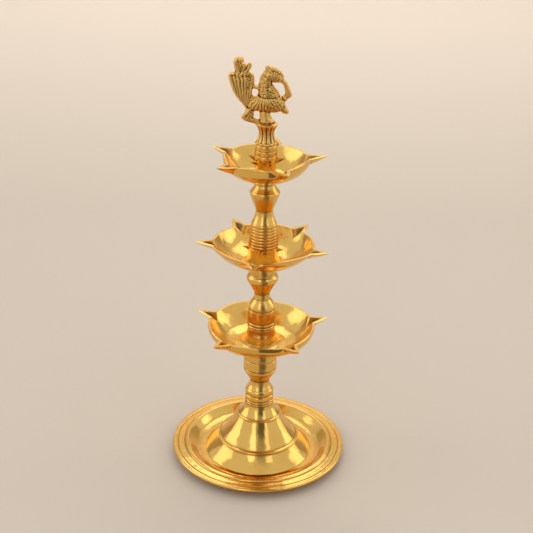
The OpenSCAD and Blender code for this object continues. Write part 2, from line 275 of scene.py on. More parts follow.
def bowl(name, z, height, r, full, square, boss_r, boss_h, beaks, sizes, reach, flat, well):
    """A cast oil bowl. Its profile is a ring: hole, underside, outer wall, lip, inner wall, floor, boss.
    Round each beak's direction the walls move outwards by
    reach x (1 - sideways / half width - drop / keel depth), where that is above zero, with a soft start:
    a pyramid on the outside and a smaller one inside it, which is the beak and its channel."""
    wall = sizes.bowl_wall / MM
    hole = sizes.stud_hole / MM
    flare = min(9.0, well - boss_r - 2.5)
    lip = z + height
    deep = height * 1.05
    floor = z + 2.5
    outer = cup(r, deep, lip, full, square)
    outer = outer[outer[:, 1] > z + 0.35]
    t = np.linspace(1, 0, 14)
    flank = np.column_stack([boss_r + flare * t ** 3, z + boss_h - 0.4 - (boss_h - 2.9) * (1 - (1 - t) ** 2)])
    inner = np.vstack([
        curve(lip - 0.25, r - wall, floor + 0.5, well, 0.045 * r),
        line([well - 2, floor + 0.1]),
        flank,
    ])
    # the inner wall, the floor and the boss's flank all keep inside the outer wall
    inner[:, 0] = np.minimum(inner[:, 0], np.interp(inner[:, 1], outer[:, 1], outer[:, 0]) - 0.9 * wall)
    ring = np.vstack([
        line([hole + 0.3, z], [outer[0][0] - 1.5, z]),
        outer[:-1],
        line([r, lip - 0.25], [r - 0.35, lip], [r - wall + 0.35, lip], [r - wall, lip - 0.25]),
        inner[1:],
        line([boss_r - 0.4, z + boss_h], [hole + 0.3, z + boss_h], [hole, z + boss_h - 0.3], [hole, z + 0.3]),
    ])
    rr, zz, hollow = buffed(ring, sizes.edge_softness / MM, 1.5, 9, loop=True)
    start = int(np.argmin((zz - z - boss_h / 2) ** 2 + (rr - hole) ** 2 * 9))
    rr, zz, hollow = (np.roll(v, -start) for v in (rr, zz, hollow))
    crown = np.flatnonzero((zz > lip - 0.2) & (rr > 0.8 * r))
    lip_at = crown[len(crown) // 2]
    outside = np.arange(len(rr)) <= lip_at
    # columns crowd towards each beak's middle line, with one exactly on it
    beaks = np.radians(np.sort(beaks))
    gaps = np.diff(np.r_[beaks, beaks[0] + 2 * np.pi])
    per = 44
    t = np.linspace(0, 1, per, endpoint=False)
    ease = t - 0.14 * np.sin(2 * np.pi * t)
    a = (beaks[:, None] + gaps[:, None] * ease[None, :]).reshape(-1)
    near = np.abs((a[:, None] - beaks[None, :] + np.pi) % (2 * np.pi) - np.pi).min(axis=1)
    side = near * r
    mid = 0.5 - 0.5 * np.cos(np.pi * np.clip(near / np.radians(36), 0, 1))
    drop = np.maximum(lip - zz, 0)

    def pyramid(length, half, keel, soften):
        u = 1 - side[None, :] / half - drop[:, None] / keel
        return length * 0.5 * (u + np.sqrt(u * u + soften ** 2)) * (drop[:, None] < height * 0.8)

    out = pyramid(reach, 6.6, 7.0, 0.10)
    into = pyramid(reach - 6.2 + wall, 5.0, 5.6, 0.05)
    push = np.where(outside[:, None], out, into)
    rise = np.clip((zz - z - 5) / (height - 5), 0, 1)[:, None] ** 2 * (rr > boss_r + 6)[:, None]
    radius = rr[:, None] + push - flat * mid[None, :] * rise
    raised = 1.5 * np.clip(out / reach, 0, 1)
    up = zz[:, None] + (sizes.lip_wave / MM * (mid[None, :] - 0.35) + raised) * rise
    grid = np.stack([radius * np.cos(a), radius * np.sin(a), up], axis=-1)
    crease = np.clip(into / 4, 0, 1) * (~outside[:, None]) * 1.1
    return skin(name, grid, {"hollow": np.clip(hollow[:, None] + crease, -1, 1)}, poles=False)


# ---- shaders ----


class Wire:
    """A number that flows through a shader. Arithmetic on it adds the Math nodes."""

    def __init__(self, bench, socket):
        self.bench = bench
        self.socket = socket

    def math(self, operation, *values, clamp=False):
        return self.bench.node("ShaderNodeMath", {"operation": operation, "use_clamp": clamp}, list(values))

    def __add__(self, other):
        return self.math("ADD", self, other)

    def __sub__(self, other):
        return self.math("SUBTRACT", self, other)

    def __rsub__(self, other):
        return self.math("SUBTRACT", other, self)

    def __mul__(self, other):
        return self.math("MULTIPLY", self, other)

    def __truediv__(self, other):
        return self.math("DIVIDE", self, other)

    def __pow__(self, other):
        return self.math("POWER", self, other)

    __radd__ = __add__
    __rmul__ = __mul__

    def clamped(self):
        return self.math("ADD", self, 0.0, clamp=True)

    def between(self, low, high):
        """0 below low, 1 above high, straight between."""
        return self.math("MULTIPLY", self - low, 1 / (high - low), clamp=True)


class Bench:
    """Makes the nodes of one material or world."""

    def __init__(self, owner):
        self.owner = owner
        owner.use_nodes = True
        self.tree = owner.node_tree
        self.tree.nodes.clear()

    def node(self, kind, settings=None, values=(), out=0):
        """A node of this kind: its settings first, then the values or links of its sockets,
        by name or place."""
        made = self.tree.nodes.new(kind)
        for key, value in (settings or {}).items():
            setattr(made, key, value)
        pairs = values.items() if isinstance(values, dict) else enumerate(values)
        for key, value in pairs:
            socket = made.inputs[key]
            if isinstance(value, Wire):
                self.tree.links.new(value.socket, socket)
            elif isinstance(value, tuple) and len(value) == 3 and len(socket.default_value) == 4:
                socket.default_value = (*value, 1)
            else:
                socket.default_value = value
        return Wire(self, made.outputs[out]) if len(made.outputs) else made

    def place(self, scale=1.0):
        """The point on the object, in metres times scale."""
        spot = self.node("ShaderNodeTexCoord", out="Object")
        return self.node("ShaderNodeVectorMath", {"operation": "SCALE"}, {0: spot, "Scale": scale})

    def parts(self, vector):
        split = self.node("ShaderNodeSeparateXYZ", values=[vector])
        outs = split.socket.node.outputs
        return [Wire(self, outs[i]) for i in range(3)]

    def joined(self, x, y, z):
        return self.node("ShaderNodeCombineXYZ", values=[x, y, z])

    def noise(self, vector, scale, detail=3.0, rough=0.55, warp=0.0):
        values = {"Vector": vector, "Scale": scale, "Detail": detail, "Roughness": rough, "Distortion": warp}
        return self.node("ShaderNodeTexNoise", {"noise_dimensions": "3D"}, values)

    def mixed(self, share, a, b):
        """Colour a going to colour b as share goes from 0 to 1."""
        made = self.tree.nodes.new("ShaderNodeMix")
        made.data_type = "RGBA"
        for socket, value in zip([made.inputs[0], made.inputs[6], made.inputs[7]], [share, a, b]):
            if isinstance(value, Wire):
                self.tree.links.new(value.socket, socket)
            elif isinstance(value, (int, float)):
                socket.default_value = value
            else:
                socket.default_value = (*value, 1)
        return Wire(self, made.outputs[2])

    def bump(self, height, distance, strength=1.0):
        values = {"Height": height, "Distance": distance, "Strength": strength}
        return self.node("ShaderNodeBump", values=values)

    def finish(self, values):
        shader = self.node("ShaderNodeBsdfPrincipled", values=values)
        self.node("ShaderNodeOutputMaterial", values={"Surface": shader})
        return self.owner


def polished_material(name, colours, line_gap, lines, ripple, dull):
    """Buffed brass: warm patches, brown in the grooves, turning lines every line_gap millimetres or so and
    lines deep, a slow unevenness ripple high, both in millimetres, and a roughness raised by dull."""
    bench = Bench(bpy.data.materials.new(name))
    spot = bench.place(1 / MM)
    x, y, z = bench.parts(spot)
    radius = (x * x + y * y) ** 0.5
    angle = bench.node("ShaderNodeMath", {"operation": "ARCTAN2"}, [y, x])
    hollow = bench.node("ShaderNodeAttribute", {"attribute_name": "hollow"}, out="Fac")
    patches = bench.noise(spot, 0.045, 4, 0.6, 0.6)
    mottle = bench.noise(spot, 0.35, 5, 0.62)
    rings = bench.noise(bench.joined(radius / line_gap, angle * 0.5, z / line_gap), 1.0, 2, 0.6)
    scratch = bench.noise(bench.joined(radius * 3.2, angle * 2.4, z * 3.2), 1.0, 3, 0.7)
    waves = bench.noise(spot, 0.11, 1.5, 0.4)
    groove_mask = (hollow - 0.10 + (mottle - 0.5) * 0.5).between(0.0, 0.75)
    warm = patches.between(0.38, 0.68) * 0.7 + (mottle - 0.5) * 0.5
    colour = bench.mixed(warm.clamped(), tuple(colours.polished), tuple(colours.handled))
    colour = bench.mixed((scratch.between(0.60, 0.78) * 0.16).clamped(), colour, tuple(colours.handled))
    colour = bench.mixed((groove_mask * 0.85).clamped(), colour, tuple(colours.tarnish_and_shade))
    worn = patches.between(0.35, 0.7) * 0.07
    rough = 0.085 + dull + worn + scratch.between(0.45, 0.8) * 0.09 + groove_mask * 0.28
    fine = bench.bump(rings * 0.75 + scratch * 0.25, lines * MM)
    slow = bench.bump(waves, ripple * MM)
    bench.tree.links.new(slow.socket, fine.socket.node.inputs["Normal"])
    return bench.finish({"Base Color": colour, "Metallic": 1.0, "Roughness": rough, "Normal": fine})


def machined_material(name, colours):
    """Studs: evenly cut brass, darker between the threads."""
    bench = Bench(bpy.data.materials.new(name))
    spot = bench.place(1 / MM)
    hollow = bench.node("ShaderNodeAttribute", {"attribute_name": "hollow"}, out="Fac")
    mottle = bench.noise(spot, 0.8, 4, 0.6)
    dark = (hollow * 0.5 + mottle - 0.2).between(0.1, 0.9)
    colour = bench.mixed(dark, tuple(colours.polished), tuple(colours.tarnish_and_shade))
    rough = 0.22 + dark * 0.25
    grain = bench.bump(bench.noise(spot, 6.0, 3, 0.6), 0.02 * MM)
    return bench.finish({"Base Color": colour, "Metallic": 1.0, "Roughness": rough, "Normal": grain})


def cast_material(name, colours):
    """Sand-cast brass: worn bright on high spots, granular, brown to black in the recesses; on the pedestal
    that darkening includes painted shade in the flutes.
    """
    bench = Bench(bpy.data.materials.new(name))
    spot = bench.place(1 / MM)
    hollow = bench.node("ShaderNodeAttribute", {"attribute_name": "hollow"}, out="Fac")
    mottle = bench.noise(spot, 0.55, 5, 0.65)
    grain = bench.noise(spot, 2.6, 4, 0.7)
    pits = bench.node("ShaderNodeTexVoronoi", {"feature": "F1"}, {"Vector": spot, "Scale": 1.7})
    # darker in the recesses: residue on the bird, residue and painted shade on the pedestal
    dark = (hollow * 0.85 + (mottle - 0.5) * 0.9).between(-0.08, 0.62)
    colour = bench.mixed(mottle.between(0.35, 0.7) * 0.7, tuple(colours.cast), tuple(colours.handled))
    colour = bench.mixed(dark, colour, tuple(colours.tarnish_and_shade))
    colour = bench.mixed((dark - 0.55).between(0.0, 0.5) * 0.8, colour, tuple(colours.soot_and_shade))
    rough = 0.24 + grain.between(0.3, 0.7) * 0.12 + dark * 0.3
    sand = bench.bump(grain * 0.7 + pits * 0.5, 0.10 * MM)
    return bench.finish({"Base Color": colour, "Metallic": 1.0, "Roughness": rough, "Normal": sand})


def plain_material(name, colour, roughness):
    """An even, unreflecting surface."""
    return Bench(bpy.data.materials.new(name)).finish({"Base Color": tuple(colour), "Roughness": roughness})


def shared(name, maker, *rest):
    """A material made once and then found by its name."""
    return bpy.data.materials.get(name) or maker(name, *rest)


def fitted(thing, node, material):
    """Puts a finished piece in place of its CAD node: material, slot and the body it rides on."""
    thing.data.materials.append(material)
    body = next(b for b, names in frame["record"]["behaviour"]["bodies"].items() if node in names)
    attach(thing, body)
    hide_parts(node)
    return thing


def polished(context):
    return shared("turned_brass_skin", polished_material, context.scene.lamp_colours, 0.55, 0.02, 0.30, 0.0)


def stem_brass(context):
    return shared("stem_brass_skin", polished_material, context.scene.lamp_colours, 0.95, 0.07, 0.30, 0.10)


def hand_buffed(context):
    return shared("bowl_brass_skin", polished_material, context.scene.lamp_colours, 0.8, 0.015, 0.55, 0.03)


# ---- operators ----


class LAMP_OT_dish(bpy.types.Operator):
    """Turned dish that the lamp stands on: rolled brim, engraved rings, high crest and a polished well"""

    bl_idname = "lamp.dish"
    bl_label = "Base dish"

    def execute(self, context):
        sizes = context.scene.lamp_sizes
        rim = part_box("base_dish")[1].x / MM
        crest, high, seat = 62.0, TOP["base_dish"], 3.2
        profile = np.vstack([
            line([38, 1.4], [38, 0.4], [38.4, 0], [52.4, 0], [53.2, 0.3]),
            curve(0.8, 54.4, high - 3.6, crest - 1.4, -0.5),
            line([crest + 1, high - 3.1]),
            curve(high - 3.1, crest + 2, 6.6, rim - 1.6, 0.2),
            line([rim - 0.3, 6.8], [rim, 7.4], [rim, 8.1]),
            line([rim - 0.4, 8.8], [rim - 1.3, 9.05], [rim - 2.4, 9.0]),
            line([71.3, 9.25], [70.9, 8.95], [70.4, 8.9], [70.0, 9.3], [67.8, 9.5]),
            line([66.4, 9.6], [65.6, 9.85], [65.0, 9.65], [64.7, 9.55], [64.3, 10.2], [63.6, 10.5]),
            line([62.6, high - 0.2], [62.0, high], [61.2, high - 0.15], [60.6, high - 0.55]),
            curve(high - 0.8, 60.2, seat + 2.4, 54.8, 0.0),
            line([54.0, seat + 1.85], [52.2, seat + 0.95], [50.6, seat + 0.35]),
            line([48.6, seat + 0.05], [47, seat]),
            line([38.6, seat], [38, seat - 0.5]),
        ])
        thing = lathe_ring("base_dish_skin", profile, 224, sizes.edge_softness / MM)
        fitted(thing, "base_dish", polished(context))
        return {"FINISHED"}


def lathe_ring(name, points, steps, soft):
    """A turned ring: the buffed closed profile carried round the axis."""
    r, z, hollow = buffed(points, soft, 2.2, 9, loop=True)
    a = np.linspace(0, 2 * np.pi, steps, endpoint=False)
    grid = np.stack([np.outer(r, np.cos(a)), np.outer(r, np.sin(a)), np.outer(z, np.ones(steps))], axis=-1)
    return skin(name, grid, {"hollow": hollow[:, None]}, poles=False)


class LAMP_OT_bell(bpy.types.Operator):
    """Hollow stepped bell that rises from the dish, with a grooved collar on top"""

    bl_idname = "lamp.bell"
    bl_label = "Base bell"

    def execute(self, context):
        sizes = context.scene.lamp_sizes
        seat, top = 3.2, SEAT["baluster"]
        h = top - seat
        lip_z, shoulder, collar = seat + 0.223 * h, seat + 0.648 * h, seat + 0.84 * h
        outer = np.vstack([
            line([45.2, seat + 0.02], [46, seat + 0.25]),
            curve(seat + 0.6, 45.5, lip_z - 0.6, 33.6, -0.9),
            line([33.4, lip_z], [34.8, lip_z + 0.1], [35.2, lip_z + 0.9]),
            line([34.9, lip_z + 1.9], [33.8, lip_z + 2.3]),
            curve(lip_z + 2.6, 32.9, shoulder - 0.9, 18.9, -1.2),
            line([18.6, shoulder - 0.6], [19.3, shoulder - 0.4]),
            line([19.2, shoulder + 0.4], [18.3, shoulder + 0.6]),
            curve(shoulder + 0.7, 17.9, collar - 0.2, 12.1, -0.9),
            line([11.9, collar + 0.1], [12.2, collar + 0.5]),
            groove(collar + 2.0, 12.2, 0.55),
            groove(collar + 4.4, 12.2, 0.55),
            line([12.2, top - 0.7], [11.6, top]),
        ])
        bore = line([3.95, top], [3.55, top - 0.4], [3.55, top - 8.4], [0, top - 8.4])
        inner = np.vstack([
            line([0, collar - 4], [6, collar - 4.2]),
            curve(shoulder - 4, 15.8, lip_z + 1, 30.1, -1.4),
            line([30.3, lip_z - 0.2]),
            curve(lip_z - 0.4, 30.4, seat + 0.1, 43.0, -0.9),
        ])
        outline = np.vstack([inner, outer, bore])
        thing = turned("base_bell_skin", outline, sizes.turn_steps, sizes.edge_softness / MM)
        fitted(thing, "base_bell", polished(context))
        return {"FINISHED"}


class LAMP_OT_stems(bpy.types.Operator):
    """Turned pieces of the stem: baluster, lower stem, ribbed upper stem and the plain top spool"""

    bl_idname = "lamp.stems"
    bl_label = "Stem pieces"

    def execute(self, context):
        sizes = context.scene.lamp_sizes
        soft, hole = sizes.edge_softness / MM, sizes.stud_hole / MM
        steps = sizes.turn_steps

        z, h = SEAT["baluster"], TOP["baluster"] - SEAT["baluster"]
        baluster = np.vstack([
            line([11.2, z], [11.7, z + 0.3]),
            curve(z + 0.5, 11.75, z + 0.112 * h, 11.5, 0.6),
            line([10.8, z + 0.125 * h]),
            curve(z + 0.135 * h, 10.7, z + 0.29 * h, 8.2, -0.5),
            curve(z + 0.3 * h, 8.2, z + 0.5 * h, 14.0, 0.0),
            groove(z + 0.56 * h, 14.3, 0.55),
            curve(z + 0.6 * h, 14.2, z + 0.735 * h, 13.9, 0.15),
            line([13.4, z + 0.745 * h]),
            curve(z + 0.755 * h, 13.8, z + h - 0.4, 12.2, 0.7),
            line([11.8, z + h]),
        ])
        z, h = SEAT["lower_stem"], TOP["lower_stem"] - SEAT["lower_stem"]
        lower = np.vstack([
            line([12.4, z], [12.8, z + 0.4]),
            curve(z + 0.7, 12.7, z + 0.108 * h, 11.3, -0.4),
            line([10.9, z + 0.112 * h]),
            bead(z + 0.116 * h, z + 0.152 * h, 11.1, 0.65),
            bead(z + 0.160 * h, z + 0.196 * h, 11.1, 0.65),
            line([11.2, z + 0.205 * h]),
            groove(z + 0.38 * h, 11.3, 0.5),
            curve(z + 0.41 * h, 11.3, z + 0.53 * h, 7.1, 0.7),
            curve(z + 0.54 * h, 6.9, z + 0.6 * h, 6.3, -0.1),
            curve(z + 0.61 * h, 6.3, z + 0.795 * h, 12.9, -0.2),
            curve(z + 0.81 * h, 13.1, z + 0.855 * h, 12.8, 0.2),
            line([12.4, z + 0.862 * h]),
            curve(z + 0.865 * h, 12.5, z + 0.905 * h, 10.9, -0.3),
            curve(z + 0.92 * h, 10.8, z + h - 0.4, 11.4, -0.2),
            line([11.0, z + h]),
        ])
        z, h = SEAT["upper_stem"], TOP["upper_stem"] - SEAT["upper_stem"]
        ribs, spool = 8, 0.37 * h
        t = np.linspace(0, 1, ribs * 12 + 1)
        saw = np.abs(np.sin(np.pi * ribs * t)) ** 0.35
        ribbed = np.column_stack([12.3 - 1.9 * t - 0.38 * (1 - saw), z + 0.3 + (spool - 0.3) * t])
        upper = np.vstack([
            line([11.6, z]),
            ribbed,
            curve(z + spool + 0.2, 10.3, z + 0.56 * h, 6.9, -0.6),
            curve(z + 0.57 * h, 6.9, z + 0.805 * h, 11.9, 0.2),
            curve(z + 0.82 * h, 12.1, z + 0.855 * h, 11.9, 0.2),
            curve(z + 0.86 * h, 11.5, z + 0.965 * h, 7.9, -0.6),
            line([8.1, z + 0.985 * h], [8.1, z + h]),
        ])
        z, h = SEAT["top_spool"], TOP["top_spool"] - SEAT["top_spool"]
        spool = np.vstack([
            line([9.0, z], [9.3, z + 0.4]),
            groove(z + 0.28 * h, 9.0, 0.3),
            groove(z + 0.62 * h, 8.7, 0.3),
            line([8.3, z + h - 0.5], [8.0, z + h]),
        ])
        for node, outline in (("baluster", baluster), ("lower_stem", lower), ("upper_stem", upper)):
            closed = with_holes(outline, hole, 8.4, 8.4)
            thing = turned(node + "_skin", closed, steps, soft, 1.8)
            fitted(thing, node, stem_brass(context))
        ring = np.vstack([
            line([hole, z + 0.4], [hole + 0.3, z]),
            spool,
            line([hole + 0.3, z + h], [hole, z + h - 0.4]),
        ])
        thing = lathe_ring("top_spool_skin", ring, steps, soft)
        fitted(thing, "top_spool", stem_brass(context))
        return {"FINISHED"}


class LAMP_OT_bowls(bpy.types.Operator):
    """Three cast oil bowls, each with five pinched wick beaks and a raised boss in the middle"""

    bl_idname = "lamp.bowls"
    bl_label = "Oil bowls"

    def execute(self, context):
        sizes = context.scene.lamp_sizes
        rows = (
            ("lower_bowl", "lower_stem", 45.2, 1.6, 2.4, 12.0,
             (14, 86, 159, 230, 302), 0.4, 14.2, 27.0),
            ("middle_bowl", "upper_stem", 42.6, 2.0, 1.3, 12.2,
             (46.5, 119, 183, 261, 339.5), 1.2, 13.8, 22.5),
            ("upper_bowl", "top_spool", 35.5, 1.6, 2.0, 8.0,
             (6, 79, 153, 221, 291), 2.2, 14.0, 17.5),
        )
        for node, above, r, full, square, boss_r, beaks, flat, reach, well in rows:
            z = SEAT[node]
            thing = bowl(node + "_skin", z, TOP[node] - z, r, full, square, boss_r, SEAT[above] - z,
                         beaks, sizes, reach, flat, well)
            fitted(thing, node, hand_buffed(context))
        return {"FINISHED"}


class LAMP_OT_studs(bpy.types.Operator):
    """Double-ended studs with a right-hand thread, hidden while the lamp is screwed together"""

    bl_idname = "lamp.studs"
    bl_label = "Studs"

    def execute(self, context):
        sizes = context.scene.lamp_sizes
        cut = shared("cut_brass_skin", machined_material, context.scene.lamp_colours)
        for node in ("bell_stud", "lower_bowl_stud", "middle_bowl_stud", "finial_stud"):
            low, high = SEAT[node] + 0.02, TOP[node] - 0.02
            thing = threaded(node + "_thread", low, high, 3.5, sizes.thread_pitch / MM)
            fitted(thing, node, cut)
        return {"FINISHED"}


# ---- the peacock ----


def through(points, count, ease):
    """Even steps along straight runs between the points, each then averaged with its neighbours
    over ease steps."""
    p = np.asarray(points, float)
    run = np.r_[0, np.cumsum(np.linalg.norm(np.diff(p, axis=0), axis=1))]
    s = np.linspace(0, run[-1], count)
    return np.column_stack([averaged(np.interp(s, run, p[:, k]), ease, False) for k in range(p.shape[1])])


def limb(rows, count=64, round_steps=28):
    """A rounded limb in the bird's middle plane. Each row gives
    [forward, up, radius in the plane, radius across it]; the section is an ellipse square to the path,
    and it shrinks to a point at both ends as on a ball.
    Gives the points of the grid."""
    smooth = through(rows, count, 3.0)
    path, wide, deep = smooth[:, :2], smooth[:, 2], smooth[:, 3]
    along = np.gradient(path, axis=0)
    along /= np.linalg.norm(along, axis=1)[:, None] + 1e-9
    normal = np.column_stack([-along[:, 1], along[:, 0]])
    run = np.r_[0, np.cumsum(np.linalg.norm(np.diff(path, axis=0), axis=1))]
    ends = np.minimum(run / max(wide[0], 1e-6), (run[-1] - run) / max(wide[-1], 1e-6))
    close = np.sqrt(np.clip(1 - (1 - np.clip(ends, 0, 1)) ** 2, 0, 1))
    a = np.linspace(0, 2 * np.pi, round_steps, endpoint=False)
    plane = path[:, None, :] + (wide * close)[:, None, None] * np.cos(a)[None, :, None] * normal[:, None, :]
    side = (deep * close)[:, None] * np.sin(a)[None, :]
    return np.stack([plane[..., 0], side, plane[..., 1]], axis=-1)


BIRD = {
    "body": [[-16.6, 14.8, 2.4, 2.0], [-13.0, 15.4, 5.0, 4.2], [-8, 16.0, 6.4, 5.9], [-1, 16.6, 7.2, 6.8],
             [6, 16.2, 7.4, 6.6], [10.5, 16.2, 6.2, 5.2], [14.0, 16.4, 3.0, 2.6]],
    "breast": [[1.0, 18.0, 6.6, 5.6], [4.0, 20.6, 6.4, 5.4], [2.2, 24.5, 5.4, 4.8], [0.0, 28.5, 4.7, 4.3],
               [-1.4, 32.0, 3.6, 3.6]],
    "neck": [[0.5, 16, 7.0, 5.6], [-0.6, 21, 6.8, 5.4], [-1.6, 26, 5.8, 4.9], [-2.0, 30, 5.0, 4.4],
             [-1.4, 35, 5.0, 4.5], [1.5, 38.5, 4.6, 4.2]],
    "head": [[-4.0, 35.6, 2.6, 2.6], [0.0, 37.6, 5.2, 4.7], [4.4, 37.4, 5.0, 4.5], [8.6, 35.8, 3.8, 3.4],
             [12.0, 35.0, 2.0, 1.8]],
    "crest": [[2.6, 38.5, 4.4, 3.6], [0.8, 41.6, 3.6, 2.8], [-0.5, 44.0, 2.2, 1.8], [-1.2, 45.4, 1.2, 1.0]],
    "brow": [[-1.0, 42.3, 1.6, 2.0], [3.5, 42.8, 1.8, 2.6], [8.0, 40.2, 1.8, 2.3], [11.8, 37.0, 1.2, 1.4]],
    "beak": [[8.0, 34.8, 1.8, 2.0], [11.6, 33.6, 1.8, 2.0], [13.8, 31.0, 1.7, 1.9], [15.0, 27.2, 2.1, 2.1],
             [16.0, 23.2, 2.7, 2.3], [16.4, 20.4, 2.2, 1.9]],
    "wattle": [[15.6, 22.0, 2.4, 2.1], [13.6, 21.0, 2.4, 2.2], [12.4, 18.6, 2.6, 2.6]],
    "breast_tuft": [[9.0, 14.2, 3.2, 2.8], [12.4, 11.8, 2.9, 2.4], [15.0, 9.6, 2.2, 1.9],
                    [16.4, 8.4, 1.5, 1.4]],
    "tail": [[-12.0, 13.6, 3.0, 3.2], [-15.6, 17.6, 4.3, 3.2], [-18.2, 22.0, 5.3, 3.0],
             [-19.6, 27.0, 7.0, 2.9],
             [-19.8, 32.0, 8.9, 2.8], [-19.4, 36.0, 9.3, 2.5], [-19.0, 38.8, 7.0, 1.9]],
    "tail_rim": [[-15.4, 12.0, 1.2, 2.2], [-20.2, 18.6, 1.3, 2.6], [-25.0, 24.8, 1.3, 2.6],
                 [-27.6, 31.6, 1.4, 2.4],
                 [-28.8, 36.2, 1.3, 1.9], [-30.4, 38.0, 0.9, 1.0]],
    "tail_lip": [[-30.0, 37.6, 0.9, 1.1], [-27.6, 38.2, 1.4, 1.6], [-25.0, 38.6, 1.6, 1.8],
                 [-21.6, 37.8, 2.0, 2.0]],
    "tail_edge": [[-13.6, 19.0, 1.2, 2.2], [-13.4, 26.6, 1.6, 2.5], [-12.2, 31.0, 1.9, 2.4],
                  [-12.0, 36.0, 1.9, 2.0],
                  [-13.2, 39.6, 1.2, 1.5]],
    "tail_top": [[-26.5, 35.6, 1.4, 1.6], [-22.0, 37.2, 2.2, 2.0], [-17.0, 38.6, 2.4, 2.0],
                 [-13.4, 39.0, 1.6, 1.6]],
    "arm": [[-21.0, 34.0, 2.4, 2.2], [-22.6, 39.0, 2.0, 2.2], [-24.3, 44.0, 1.7, 2.2],
            [-24.8, 48.0, 1.7, 2.2],
            [-23.6, 50.0, 1.5, 2.2], [-21.4, 49.8, 1.5, 2.1], [-20.2, 48.0, 1.6, 1.9]],
    "arm_knob": [[-23.4, 48.2, 2.1, 2.4], [-21.2, 49.4, 2.6, 2.8], [-19.0, 47.2, 1.8, 2.1]],
    "arm_web": [[-21.0, 38.0, 3.0, 1.1], [-21.0, 43.0, 3.4, 1.0], [-20.6, 46.5, 2.2, 1.0]],
    "branch": [[-23.0, 36.6, 1.4, 1.9], [-18.6, 39.2, 1.4, 2.0], [-15.2, 42.0, 1.4, 2.0],
               [-14.0, 44.6, 1.6, 2.0],
               [-14.0, 47.6, 1.5, 1.8]],
    "twig": [[-20.4, 38.0, 1.2, 1.6], [-18.8, 42.0, 1.4, 1.8], [-17.8, 45.2, 1.8, 2.0],
             [-17.6, 46.6, 1.4, 1.6]],
    "twig_joint": [[-18.4, 44.6, 1.2, 1.5], [-16.2, 44.0, 1.2, 1.5], [-13.6, 45.4, 1.4, 1.6]],
    "bridge": [[-13.4, 30.0, 2.2, 2.2], [-9.2, 28.3, 1.4, 2.0], [-4.0, 28.4, 2.0, 2.4]],
    "saddle": [[-13.5, 20.2, 2.0, 2.4], [-9.6, 19.6, 1.8, 2.6], [-5.0, 21.0, 2.0, 2.8]],
    "tail_root": [[-15.2, 20.0, 2.0, 2.6], [-14.8, 24.0, 1.8, 2.6], [-13.8, 28.0, 2.2, 2.6]],
    "pillar": [[-0.2, -1.4, 8.0, 7.6], [-0.4, 0.6, 7.2, 7.0], [-0.8, 2.6, 5.9, 5.8], [-1.4, 5.0, 4.5, 4.6],
               [-1.7, 8.0, 4.2, 4.2], [-1.0, 12.5, 5.4, 4.8]],
    "hock": [[-12.8, 14.0, 3.4, 2.8], [-13.4, 9.6, 3.4, 2.6], [-13.4, 6.2, 3.4, 2.5],
             [-12.6, 3.4, 2.6, 2.2]],
    "spur": [[-20.0, 4.8, 1.2, 1.4], [-17.0, 4.2, 2.2, 2.1], [-13.6, 3.4, 2.7, 2.4], [-9.4, 2.0, 2.1, 2.2],
             [-4.0, -0.2, 2.2, 2.4]],
    "hock_fan": [[-13.6, 11.0, 1.3, 2.9], [-16.2, 7.4, 1.2, 2.8], [-18.6, 4.8, 1.0, 2.2]],
}


def fused(grids, voxel):
    """The shells run together into one closed skin of small even faces.
    Gives its points and faces, in millimetres."""
    points, faces, base = [], [], 0
    for grid in grids:
        rows, cols = grid.shape[:2]
        index = np.arange(rows * cols).reshape(rows, cols) + base
        after = np.roll(index, -1, axis=1)
        faces += np.stack([index[:-1], after[:-1], after[1:], index[1:]], axis=-1).reshape(-1, 4).tolist()
        points.append(grid.reshape(-1, 3))
        base += rows * cols
    mesh = bpy.data.meshes.new("shells")
    mesh.from_pydata(np.vstack(points).tolist(), [], faces)
    shells = bpy.data.objects.new("shells", mesh)
    bpy.context.scene.collection.objects.link(shells)
    weld = shells.modifiers.new("weld", "WELD")
    weld.merge_threshold = 0.001
    remesh = shells.modifiers.new("remesh", "REMESH")
    remesh.mode = "VOXEL"
    remesh.voxel_size = voxel
    bpy.context.view_layer.update()
    ready = bpy.data.meshes.new_from_object(shells.evaluated_get(bpy.context.evaluated_depsgraph_get()))
    count = len(ready.vertices)
    out = np.empty(count * 3)
    ready.vertices.foreach_get("co", out)
    edges = np.empty(len(ready.edges) * 2, int)
    ready.edges.foreach_get("vertices", edges)
    corners = np.empty(len(ready.loops), int)
    ready.loops.foreach_get("vertex_index", corners)
    bpy.data.objects.remove(shells)
    bpy.data.meshes.remove(mesh)
    bpy.data.meshes.remove(ready)
    return out.reshape(-1, 3), edges.reshape(-1, 2), corners.reshape(-1, 4)


def neighbours_mean(values, edges):
    """For each point, the mean of its neighbours' values."""
    count = len(values)
    ends = np.concatenate([edges[:, 0], edges[:, 1]])
    others = np.concatenate([edges[:, 1], edges[:, 0]])
    share = np.bincount(ends, minlength=count)
    return np.column_stack([np.bincount(ends, values[others, k], count) for k in range(3)]) / share[:, None]


def smoothed(values, edges, rounds):
    """Points moved half way to the mean of their neighbours, rounds times over."""
    for _ in range(rounds):
        values = 0.5 * values + 0.5 * neighbours_mean(values, edges)
    return values


def outward(points, quads):
    """Unit normals at the points, each the sum of its faces' normals."""
    a, b, c, d = (points[quads[:, k]] for k in range(4))
    face = np.cross(c - a, d - b)
    total = np.column_stack([
        np.bincount(quads.reshape(-1), np.repeat(face[:, k], 4), len(points)) for k in range(3)])
    return total / (np.linalg.norm(total, axis=1)[:, None] + 1e-12)


def ridge(phase, sharp=0.7):
    """Rounded ribs side by side, 1 on each crest and 0 in each groove, one for every whole step of phase."""
    return np.abs(np.sin(np.pi * phase)) ** sharp


def inside(value, low, high, edge):
    """1 between low and high, falling to 0 over the distance edge on each side."""
    return np.clip((value - low) / edge + 0.5, 0, 1) * np.clip((high - value) / edge + 0.5, 0, 1)


